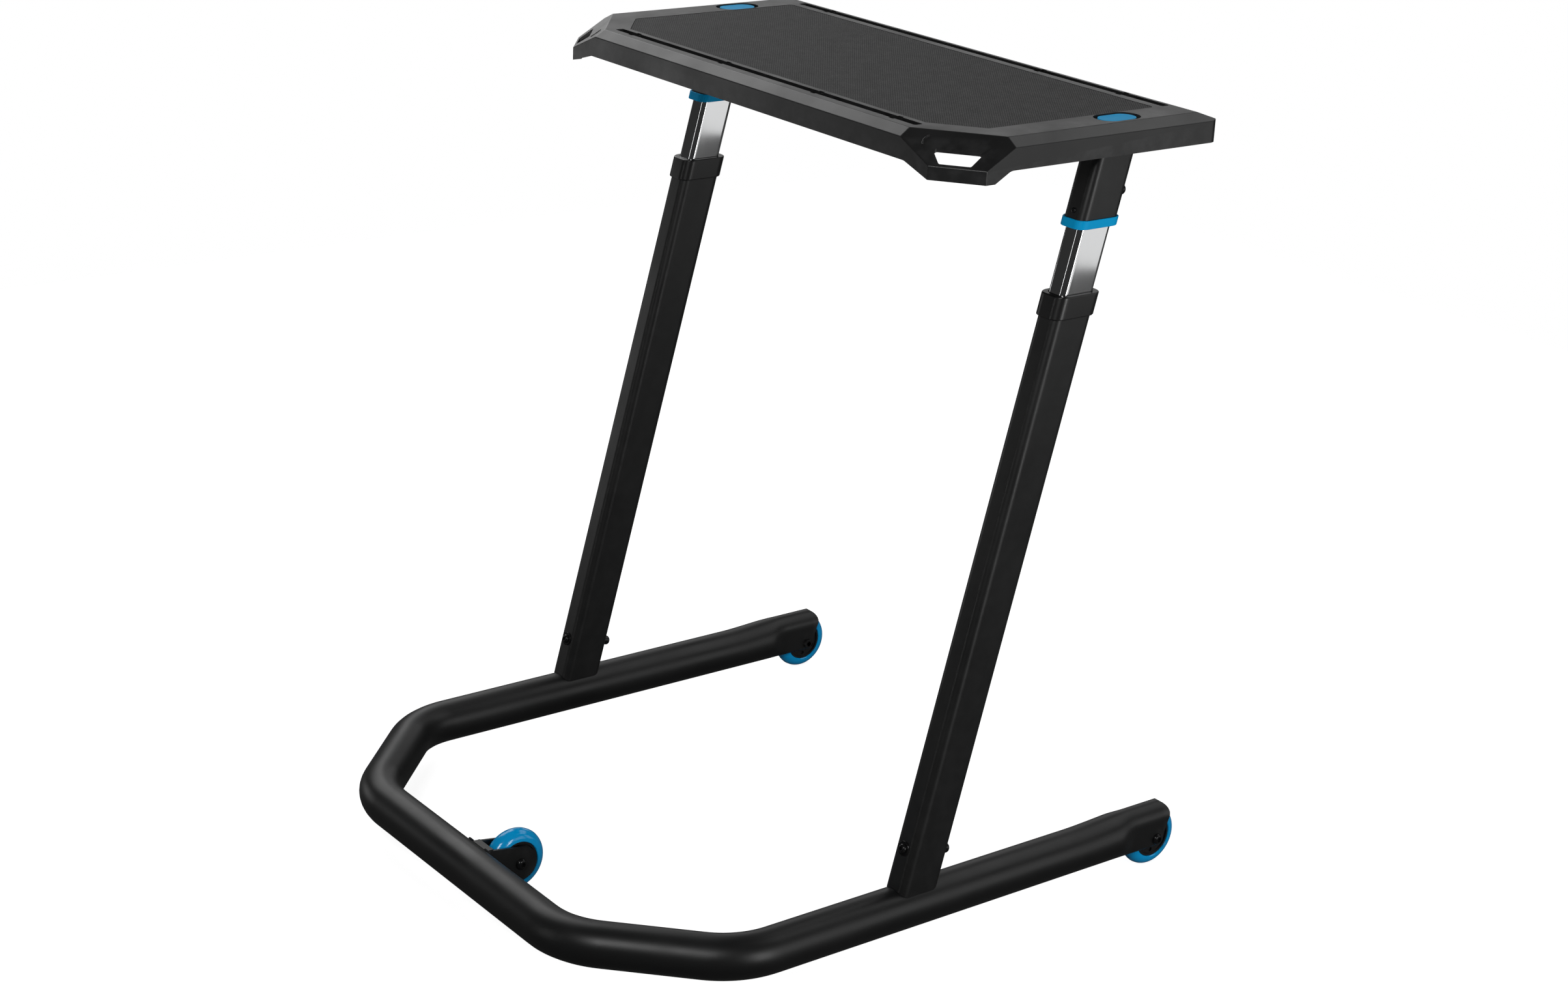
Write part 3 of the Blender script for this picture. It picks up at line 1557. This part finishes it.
@dataclass
class DeskTop:
    """The moulded desk shell with its mat, slots, hand holes and release buttons."""

    top: float = 931.5
    wall: float = 3
    flat_x: float = 367
    flat_front: float = -21
    flat_rear: float = 316
    drop: float = 8
    bevel_side: float = 15.5
    bevel_front: float = 13
    bevel_rear: float = 21
    skirt: float = 32
    ear: float = 44
    ear_kink: Point = (295, 38)
    ear_start: Point = (334, 17)
    ear_round: float = 14
    rear_corner: float = 12
    cut_x: float = 81
    cut_y: float = 65
    cut_run: float = 40.5
    cut_fall: float = 29
    handle_shift: float = 5
    handle_runs: Point = (21, 37.5)
    handle_widths: Point = (55, 34)
    handle_corner: float = 3
    grip_top: float = 900
    grip_depth: float = 10
    ridge_middle: Point = (27, 15)
    ridge_reach: Point = (9.5, 8.5)
    ridge_turn: Point = (112, 200)
    ridge_steps: int = 16
    ridge_radius: float = 1.1
    ridge_sunk: float = 0.2
    ridge_fineness: int = 3
    mat_x: float = 328
    mat_y: Point = (9, 289)
    mat_cut: Point = (52, 43)
    mat_corner: float = 6
    mat_cut_corner: float = 2
    mat_sunk: float = 0.3
    mat_thickness: float = 1.2
    tray_depth: float = 4.3
    slots: tuple[TabletSlot, ...] = (
        TabletSlot(-4, 281, (-0.88, -0.235, 0.38, 0.865)), TabletSlot(306, 329, (-0.825, 0.375, 0.79))
    )
    slot_half: float = 5.5
    slot_depth: float = 12
    slot_corner: float = 2.5
    slot_corner_steps: int = 5
    slot_wall: float = 2
    notch_half: float = 4
    notch_reach: float = 2.2
    notch_depth: float = 2
    button_x: float = 346
    button_y: float = 217
    button_half: Point = (13.5, 23.5)
    button_sunk: float = 0.8
    button_height: float = 6
    button_round: float = 1.5
    button_round_steps: int = 6
    button_wall: float = 2
    button_roof: float = 2.5
    button_travel: float = 3
    pocket_half: Point = (17, 29)
    pocket_depth: float = 3.4
    well_depth: float = 10
    well_wall: float = 2.5
    stem_hole: float = 4.3
    stem_y: float = 208.07
    spring_low: float = 921.8
    spring_under: float = 3.6
    spring_radius: float = 7.7
    spring_wire: float = 0.4
    spring_turns: float = 2.5
    spring_steps: int = 80
    spring_rest: Point = (0.08, 0.92)
    spring_fineness: int = 3
    rib_low: float = 918.3
    rib_half: float = 1.25
    length_ribs: Point = (0.28, 0.72)
    cross_ribs: tuple[float, ...] = (-0.75, -0.45, -0.15, 0.15, 0.45, 0.75)
    limit_inset: float = 1
    boss: float = 6
    screw_y: Point = (154.5, 268.5)
    screw_z: Point = (910, 927)
    edge_round: float = 1.4
    edge_round_steps: int = 4
    edge_lift: float = 1
    shell_edge: Round = Round(0.35, 2, 45)
    mat_edge: Round = Round(0.35, 3)
    button_edge: Round = Round(0.3)

    def _corner(self, sign: int) -> Matrix:
        """The frame of a front corner: +X along its cut, +Y out of it, +Z up.

        Args:
            sign: The sign of the corner's side.

        Returns:
            The frame.
        """
        along = Vector((self.cut_x, self.cut_y, 0)).normalized()
        out = Vector((self.cut_y, -self.cut_x, 0)).normalized()
        start = at(self.flat_x - self.cut_x, self.flat_front, 0)
        rows = ((along.x, out.x, 0, start.x), (along.y, out.y, 0, start.y), (0, 0, 1, 0), (0, 0, 0, 1))
        return Matrix.Diagonal((sign, 1, 1, 1)) @ Matrix(rows)

    def _planes(self) -> list[tuple[Vector, Vector]]:
        """Where the sloping faces and both upright corner rims are.

        Returns:
            A point on each face, in metres, and its outward normal.
        """
        planes = [
            (at(self.flat_x, 0, self.top), Vector((self.drop, 0, self.bevel_side))),
            (at(-self.flat_x, 0, self.top), Vector((-self.drop, 0, self.bevel_side))),
            (at(0, self.flat_front, self.top), Vector((0, -self.drop, self.bevel_front))),
            (at(0, self.flat_rear, self.top), Vector((0, self.drop, self.bevel_rear))),
        ]
        for sign in (-1, 1):
            start = at(sign * (self.flat_x - self.cut_x), self.flat_front, self.top)
            out = Vector((sign * self.cut_y, -self.cut_x, 0)).normalized()
            planes.append((start, out * self.cut_fall + Vector((0, 0, self.cut_run))))
            planes.append((start + out * mm(self.cut_run), out))
        return planes

    def _solid(self, name: str, inset: float, low: float) -> bpy.types.Object:
        """The shell's outer form as a solid block cut by its sloping faces.

        Args:
            name: The new object's name.
            inset: How far every face is moved inwards, in millimetres.
            low: The bottom in millimetres.

        Returns:
            The new object.
        """
        side = self.flat_x + self.bevel_side - inset
        front = self.flat_front - self.bevel_front + inset
        rear = self.flat_rear + self.bevel_rear - inset
        solid = block(name, (-side, front, low), (side, rear, self.top - inset))

        def upright_at_rear(edge: bmesh.types.BMEdge) -> bool:
            """Whether an edge is one of the two upright ones behind."""
            first, second = (vertex.co for vertex in edge.verts)
            return min(first.y, second.y) > mm(rear - NEAR) and abs(first.x - second.x) < mm(NEAR)

        bevelled(solid, self.rear_corner - inset, ARC_STEPS, upright_at_rear)
        with editing(solid):
            for place, normal in self._planes():
                unit = normal.normalized()
                moved = place - unit * mm(inset)
                bpy.ops.mesh.select_all(action="SELECT")
                bpy.ops.mesh.bisect(plane_co=moved, plane_no=unit, use_fill=True, clear_outer=True)
        face_outwards(solid)
        return solid

    def _underside_tools(self) -> list[bpy.types.Object]:
        """What lies under the skirt's lower edge, away from the two front ears.

        Returns:
            The two tools.
        """
        low, skirt, ear = self.top - self.ear - OVERRUN, self.top - self.skirt, self.top - self.ear
        side = self.flat_x + self.bevel_side + OVERRUN
        front = self.flat_front - self.bevel_front - OVERRUN
        rear = self.flat_rear + self.bevel_rear + OVERRUN
        kink_x, kink_y = self.ear_kink
        start_x, start_y = self.ear_start
        right = [(start_x, low), (start_x, ear), (kink_x, skirt)]
        left = [(-x, z) for x, z in reversed(right)]
        across = rounded(left + right, [self.ear_round, 0, 0, 0, 0, self.ear_round])
        corners = [(start_y, ear), (start_y, low), (rear, low), (rear, skirt), (kink_y, skirt)]
        behind = rounded(corners, [0, 0, 0, 0, self.ear_round])
        return [
            placed(prism("across", across, front, rear), ALONG_Y),
            placed(prism("behind", behind, -side, side), ALONG_X),
        ]

    def _hand_hole(self, sign: int) -> bpy.types.Object:
        """The tool that cuts one hand hole, down to its grip.

        Args:
            sign: The sign of the hole's side.

        Returns:
            The tool.
        """
        length = math.hypot(self.cut_x, self.cut_y)
        middle = length / 2 + self.handle_shift
        (near, far), (wide, narrow) = self.handle_runs, self.handle_widths
        corners = [
            (middle - wide / 2, near), (middle + wide / 2, near),
            (middle + narrow / 2, far), (middle - narrow / 2, far),
        ]
        low = self.grip_top - self.grip_depth / 2
        tool = prism("hand_hole", rounded(corners, self.handle_corner), low, self.top + OVERRUN)
        return placed(tool, self._corner(sign))

    def _hollow(self) -> bpy.types.Object:
        """The room in the shell, round the grip of each hand hole.

        Returns:
            The tool.
        """
        low = self.top - self.ear - 2 * OVERRUN
        room = self._solid("room", self.wall, low)
        first = (-self.cut_x, self.cut_run - self.grip_depth, low - OVERRUN)
        last = (2 * self.cut_x, self.cut_run, self.grip_top)
        grips = [placed(block("grip", first, last), self._corner(sign)) for sign in (-1, 1)]
        combine(room, grips, Cut.AWAY)
        return room

    def _ridges(self) -> list[bpy.types.Object]:
        """The small arc ridge at the inner end of each hand hole's face.

        Returns:
            The two ridges.
        """
        ridges = []
        fall = self.cut_fall / self.cut_run
        (middle_x, middle_run), (reach_x, reach_run) = self.ridge_middle, self.ridge_reach
        start, end = self.ridge_turn
        for sign in (-1, 1):
            path = []
            for i in range(self.ridge_steps + 1):
                turn = math.radians(start + (end - start) * i / self.ridge_steps)
                x, run = middle_x + reach_x * math.cos(turn), middle_run - reach_run * math.sin(turn)
                path.append(self._corner(sign) @ at(x, run, self.top - run * fall - self.ridge_sunk))
            ridges.append(swept("ridge", path, self.ridge_radius, self.ridge_fineness))
        return ridges

    def _mat_outline(self, grow: float = 0) -> list[Point]:
        """The mat's outline, with its two front corners cut off.

        Args:
            grow: How far it is grown all round, in millimetres.

        Returns:
            X and Y of each point in millimetres.
        """
        x, (front, rear), (cut_x, cut_y) = self.mat_x + grow, self.mat_y, self.mat_cut
        front, rear = front - grow, rear + grow
        left = [(-x, rear), (-x, front + cut_y), (-x + cut_x, front)]
        right = [(x - cut_x, front), (x, front + cut_y)]
        radii = [self.mat_corner + grow] * 2 + [self.mat_cut_corner] * 4
        return rounded([(x, rear), *left, *right], radii)

    def _button_prism(
        self, sign: int, half: Point, grow: float, low: float, high: float, name: str = "tool"
    ) -> bpy.types.Object:
        """A prism with round ends at one button's place.

        Args:
            sign: The sign of the button's side.
            half: Half its width and half its length in millimetres.
            grow: How far it is grown all round.
            low: Its bottom in millimetres.
            high: Its top in millimetres.
            name: The new object's name.

        Returns:
            The new object.
        """
        piece = prism(name, stadium(half[0] + grow, half[1] + grow), low, high)
        return placed(piece, Matrix.Translation(at(sign * self.button_x, self.button_y, 0)))

    def _additions(self) -> bpy.types.Object:
        """Slot channels, button wells, ribs, bosses and the tray under the mat, as one solid.

        Returns:
            The solid.
        """
        top = self.top - self.wall / 2
        side, rear = self.flat_x + self.bevel_side, self.flat_rear + self.bevel_rear
        front = self.flat_front - self.bevel_front
        tools = []
        for slot in self.slots:
            x, y = slot.half + self.slot_wall, self.slot_half + self.slot_wall
            low = self.top - self.slot_depth - self.slot_wall
            tools.append(block("channel", (-x, slot.y - y, low), (x, slot.y + y, top)))
        for share in self.length_ribs:
            y = front + self.wall + share * (rear - front - 2 * self.wall)
            first, last = (-side, y - self.rib_half, self.rib_low), (side, y + self.rib_half, top)
            tools.append(block("rib", first, last))
        for share in self.cross_ribs:
            x = share * self.flat_x
            first = (x - self.rib_half, self.flat_front, self.rib_low)
            tools.append(block("rib", first, (x + self.rib_half, rear, top)))
        for sign in (-1, 1):
            rooms = ((self.button_half, self.well_depth), (self.pocket_half, self.pocket_depth))
            for half, depth in rooms:
                low = self.top - depth - self.well_wall
                tools.append(self._button_prism(sign, half, self.well_wall, low, top))
            x = sign * SCREW_X
            for y in self.screw_y:
                tools.append(rod("boss", self.boss, at(x, y, self.rib_low), at(x, y, top), HOLE_SIDES))
        tray = prism("tray", self._mat_outline(GAP), self.top - self.tray_depth, top)
        combine(tray, tools, Cut.ON)
        combine(tray, [self._solid("limit", self.limit_inset, self.top - self.ear)], Cut.WITHIN)
        return tray

    def _slot(self, slot: TabletSlot, high: float) -> bpy.types.Object:
        """The tool that cuts one slot with its notches.

        Args:
            slot: The slot.
            high: The tool's top in millimetres.

        Returns:
            The tool.
        """
        flat = box_outline(slot.half, self.slot_half, self.slot_corner, self.slot_corner_steps)
        outline = [(x, slot.y + y) for x, y in flat]
        tool = prism("slot", outline, self.top - self.slot_depth, high)
        reach, low = self.slot_half + self.notch_reach, self.top - self.notch_depth
        notches = []
        for share in slot.notches:
            left, right = (share * slot.half + step for step in (-self.notch_half, self.notch_half))
            notches.append(block("notch", (left, slot.y - reach, low), (right, slot.y + reach, high)))
        combine(tool, notches, Cut.ON)
        return tool

    def _recesses(self) -> list[bpy.types.Object]:
        """The mat's recess, slots with notches, button pockets and wells, and the holes under them.

        Returns:
            The tools that cut them.
        """
        high = self.top + OVERRUN
        floor = self.top - self.mat_sunk - self.mat_thickness - GAP
        tools = [prism("recess", self._mat_outline(GAP), floor, high)]
        tools += [self._slot(slot, high) for slot in self.slots]
        for sign in (-1, 1):
            pocket, well = self.top - self.pocket_depth, self.top - self.well_depth
            tools.append(self._button_prism(sign, self.pocket_half, 0, pocket, high))
            tools.append(self._button_prism(sign, self.button_half, GAP, well, high))
            x = sign * RAIL_X
            stem = (at(x, STEM_Y, z) for z in (self.rib_low, high))
            tools.append(rod("stem_hole", self.stem_hole, *stem, HOLE_SIDES))
            for y in self.screw_y:
                screw = (at(sign * SCREW_X, y, z) for z in self.screw_z)
                tools.append(rod("screw_hole", SCREW_HOLE, *screw, SCREW_SIDES))
            tools.append(self._hand_hole(sign))
        return tools

    def _shell(self) -> None:
        """Models the shell: outer form, rounded edges, hollow, channels and cuts."""
        shell = self._solid("desk_shell_piece", 0, self.top - self.ear)
        above = mm(self.top - self.ear + self.edge_lift)

        def upper_edge(edge: bmesh.types.BMEdge) -> bool:
            """Whether an edge is sharp and isn't part of the open lower rim."""
            return edge.calc_face_angle(0) > CREASE and max(v.co.z for v in edge.verts) > above

        bevelled(shell, self.edge_round, self.edge_round_steps, upper_edge)
        combine(shell, self._underside_tools(), Cut.AWAY)
        combine(shell, [self._hollow()], Cut.AWAY)
        combine(shell, [self._additions()], Cut.ON)
        combine(shell, self._recesses(), Cut.AWAY)
        softened(shell, self.shell_edge)
        hand_over(shell, SHELL_PLASTIC, "desk", "desk_shell")
        hand_over(joined(self._ridges(), "handle_ridges"), SHELL_PLASTIC, "desk")

    def _mat(self) -> None:
        """The thin rubber mat in its recess."""
        high = self.top - self.mat_sunk
        mat = prism("desk_mat_piece", self._mat_outline(), high - self.mat_thickness, high)
        softened(mat, self.mat_edge)
        hand_over(mat, MAT_RUBBER, "desk", "desk_mat")

    def _button(self, side: Side) -> None:
        """One domed release button, hollow from below.

        Args:
            side: The side that it is on.
        """
        high = self.top - self.button_sunk
        low, roof = high - self.button_height, high - self.button_roof
        half, word = self.button_half, side.word

        def at_top(edge: bmesh.types.BMEdge) -> bool:
            """Whether an edge runs round the top face."""
            return all(vertex.co.z > mm(high - NEAR) for vertex in edge.verts)

        cap = self._button_prism(side.value, half, 0, low, high, f"{word}_button_cap")
        bevelled(cap, self.button_round, self.button_round_steps, at_top)
        room = self._button_prism(side.value, half, -self.button_wall, low - OVERRUN, roof)
        combine(cap, [room], Cut.AWAY)
        softened(cap, self.button_edge)
        hand_over(cap, BLUE_PLASTIC, f"{word}_button", f"{word}_release_button")

    def _spring(self, side: Side) -> None:
        """The button's coil spring, closed at both ends, which flattens as the button goes down.

        Args:
            side: The side that it is on.
        """
        wire, low, high = self.spring_wire, self.spring_low, self.top - self.spring_under
        middle, word = at(side.value * RAIL_X, self.stem_y, 0), side.word
        path = []
        for i in range(self.spring_steps + 1):
            share = i / self.spring_steps
            turn = share * self.spring_turns * 2 * math.pi
            x, y = self.spring_radius * math.cos(turn), self.spring_radius * math.sin(turn)
            climb = (high - low - 2 * wire) * eased(share, *self.spring_rest)
            path.append(middle + at(x, y, low + wire + climb))
        spring = swept(f"{word}_button_coil", path, wire, self.spring_fineness)
        hand_over(spring, BRIGHT_STEEL, f"{word}_button", f"{word}_button_spring")
        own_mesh(spring)

    def build(self) -> None:
        """Models the shell, the mat, both buttons and their springs and hands them over."""
        self._shell()
        self._mat()
        for side in Side:
            self._button(side)
            self._spring(side)


@dataclass
class Mounting:
    """The plates and the beam that join the posts under the desk."""

    inner: float = 52
    outer: float = 24
    plate_y: float = 211.5
    half_length: float = 66
    plate_corner: float = 6
    stem_hole: float = 7.5
    screw_reach: float = 57
    beam_half: float = 324
    beam_half_depth: float = 15
    beam_height: float = 18
    beam_corner: float = 3
    beam_wall: float = 2
    plate_edge: Round = Round(0.5)
    beam_edge: Round = Round(0.4)

    def _hole(self, name: str, radius: float, x: float, y: float, sides: int) -> bpy.types.Object:
        """The tool that cuts one round hole through a plate.

        Args:
            name: The new object's name.
            radius: The hole's radius in millimetres.
            x: Where its middle is.
            y: Where its middle is.
            sides: How many sides it has.

        Returns:
            The tool.
        """
        low, high = PLATE_TOP - PLATE_THICKNESS - OVERRUN, PLATE_TOP + OVERRUN
        return rod(name, radius, at(x, y, low), at(x, y, high), sides)

    def build(self) -> None:
        """Models the two plates and the beam and hands them to the desk."""
        under = PLATE_TOP - PLATE_THICKNESS
        for side in Side:
            ends = sorted((side.value * (RAIL_X - self.inner), side.value * (RAIL_X + self.outer)))
            middle, half = sum(ends) / 2, (ends[1] - ends[0]) / 2
            flat = box_outline(half, self.half_length, self.plate_corner)
            outline = [(middle + x, self.plate_y + y) for x, y in flat]
            plate = prism(f"{side.word}_plate", outline, under, PLATE_TOP)
            holes = [self._hole("stem_hole", self.stem_hole, side.value * RAIL_X, STEM_Y, STUB_SIDES)]
            for y in (self.plate_y - self.screw_reach, self.plate_y + self.screw_reach):
                holes.append(self._hole("screw_hole", SCREW_HOLE, side.value * SCREW_X, y, SCREW_SIDES))
            combine(plate, holes, Cut.AWAY)
            softened(plate, self.plate_edge)
            hand_over(plate, FRAME_PAINT, "desk", f"{side.word}_mount_plate")
        outline = box_outline(self.beam_half_depth, self.beam_height / 2, self.beam_corner)
        beam = tube("beam", outline, -self.beam_half, self.beam_half, self.beam_wall)
        middle = under - GAP - self.beam_height / 2
        placed(beam, Matrix.Translation(at(0, self.plate_y, middle)) @ ALONG_X)
        softened(beam, self.beam_edge)
        hand_over(beam, FRAME_PAINT, "desk", "cross_beam")


@dataclass(frozen=True)
class Lamp:
    """A soft area lamp: places in millimetres, its width and height in metres, its power in watts."""

    name: str
    place: Triple
    size: Point
    power: float
    aim: Triple = (0, 0, 480)

    def add(self) -> None:
        """Adds the lamp and turns it to what it aims at."""
        bpy.ops.object.light_add(type="AREA", location=at(*self.place))
        lamp = named(self.name)
        lamp.data.shape = "RECTANGLE"
        lamp.data.size, lamp.data.size_y = self.size
        lamp.data.energy = self.power
        aimed = at(*self.aim) - lamp.location
        lamp.rotation_euler = aimed.to_track_quat("-Z", "Y").to_euler()


@dataclass
class Studio:
    """The camera at the photograph's angle, a pale floor and soft lamps."""

    eye: Triple = (2481.53, -1866.03, 1566.9)
    right: Triple = (0.599537, 0.79913, 0.044053)
    up: Triple = (-0.299316, 0.172822, 0.93837)
    forward: Triple = (-0.74227, 0.57578, -0.342807)
    lens: float = 64.438
    sensor: float = 36
    sight: float = 60
    lamps: tuple[Lamp, ...] = (
        Lamp("rear_top_softbox", (300, 2300, 3000), (3.0, 2.0), 18),
        Lamp("left_top_softbox", (-2400, 200, 2300), (2.0, 2.0), 26),
        Lamp("side_softbox", (2500, 1900, 800), (2.4, 1.6), 11),
        Lamp("far_softbox", (-3200, 2600, 1500), (3.4, 1.6), 12),
        Lamp("left_strip", (-3000, -1500, 300), (1.4, 0.9), 5, (-300, 0, 700)),
        Lamp("right_strip", (3300, 300, 800), (0.5, 1.7), 22),
        Lamp("front_strip", (-800, -3200, 800), (0.25, 1.7), 4),
        Lamp("key_softbox", (1900, -2500, 2400), (0.9, 1.4), 36),
    )
    floor_size: float = 5.2
    floor_lift: float = 0.86
    floor_tone: float = 0.6
    floor_bounce: float = 0.16
    floor_roughness: float = 0.95
    ambient: float = 0.035

    def camera(self) -> None:
        """Adds the camera and makes it the scene's."""
        bpy.ops.object.camera_add()
        camera = named("photo_camera")
        data = camera.data
        data.sensor_width = self.sensor
        data.lens = self.lens
        data.clip_end = self.sight
        rows = [(*axis, 0) for axis in (self.right, self.up, tuple(-v for v in self.forward))]
        turn = Matrix((*rows, (0, 0, 0, 1))).transposed()
        camera.matrix_world = Matrix.Translation(at(*self.eye)) @ turn
        bpy.context.scene.camera = camera

    def _floor(self) -> None:
        """Adds the pale floor, which keeps the desk's shadow."""
        bpy.ops.object.select_all(action="DESELECT")
        bpy.ops.mesh.primitive_plane_add(size=self.floor_size, location=(0, 0, 0))
        floor = named("studio_floor")
        material = bpy.data.materials.new("pale_floor")
        material.use_nodes = True
        tree = material.node_tree
        shader = tree.nodes["Principled BSDF"]
        set_inputs(shader, {"Roughness": self.floor_roughness, "Specular IOR Level": 0.0})
        bounce, seen = ((tone, tone, tone, 1) for tone in (self.floor_bounce, self.floor_tone))
        path = add_node(tree, "LightPath")
        tone = add_node(tree, "Mix", {"A": bounce, "B": seen}, data_type="RGBA")
        lift = add_node(tree, "Math", {1: self.floor_lift}, operation="MULTIPLY")
        glow = add_node(tree, "Emission")
        total = add_node(tree, "AddShader")
        wire(
            tree,
            (path, "Is Camera Ray", tone, "Factor"),
            (tone, "Result", shader, "Base Color"),
            (path, "Is Camera Ray", lift, 0),
            (lift, "Value", glow, "Strength"),
            (shader, "BSDF", total, 0),
            (glow, "Emission", total, 1),
            (total, "Shader", tree.nodes["Material Output"], "Surface"),
        )
        floor.data.materials.append(material)

    def _world(self) -> None:
        """Makes the world white to the camera and a plain grey light elsewhere."""
        world = bpy.data.worlds.new("studio_world")
        world.use_nodes = True
        bpy.context.scene.world = world
        tree = world.node_tree
        plain = tree.nodes["Background"]
        set_inputs(plain, {"Color": (1, 1, 1, 1), "Strength": self.ambient})
        white = add_node(tree, "Background", {"Color": (1, 1, 1, 1), "Strength": 1.0})
        path = add_node(tree, "LightPath")
        mix = add_node(tree, "MixShader")
        wire(
            tree,
            (path, "Is Camera Ray", mix, "Fac"),
            (plain, "Background", mix, 1),
            (white, "Background", mix, 2),
            (mix, "Shader", tree.nodes["World Output"], "Surface"),
        )

    def build(self) -> None:
        """Adds the world, the floor and the lamps."""
        self._world()
        self._floor()
        for lamp in self.lamps:
            lamp.add()
        bpy.context.scene.view_settings.view_transform = "Standard"


def dress_nodes(frame: dict) -> None:
    """Gives every CAD node that still shows the finish of its record slot.
    """
    slots = {part["node"]: part["material_slot"] for part in frame["record"]["subparts"]}
    for name, node in frame["nodes"].items():
        finish = NODE_FINISHES[slots[name]]
        node.data.materials.clear()
        node.data.materials.append(finish.material())
        log.info("node %s has %s", name, finish.name)


def main() -> None:
    """Builds the desk's looks round the frame, in order."""
    logging.basicConfig(level=logging.INFO, format="%(name)s: %(message)s")
    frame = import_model()
    studio = Studio()
    studio.camera()
    dress_nodes(frame)
    BaseTube().build()
    FrontFork().build()
    Wheel("rear_left", -RAIL_X, REAR_AXLE_Y, -1, REAR_SPAN).build()
    Wheel("rear_right", RAIL_X, REAR_AXLE_Y, 1, REAR_SPAN).build()
    Wheel("front", 0, FRONT_AXLE_Y, 1, FRONT_SPAN).build()
    for side in Side:
        Post(side).build()
    Mounting().build()
    DeskTop().build()
    studio.build()


if __name__ == "__main__":
    main()
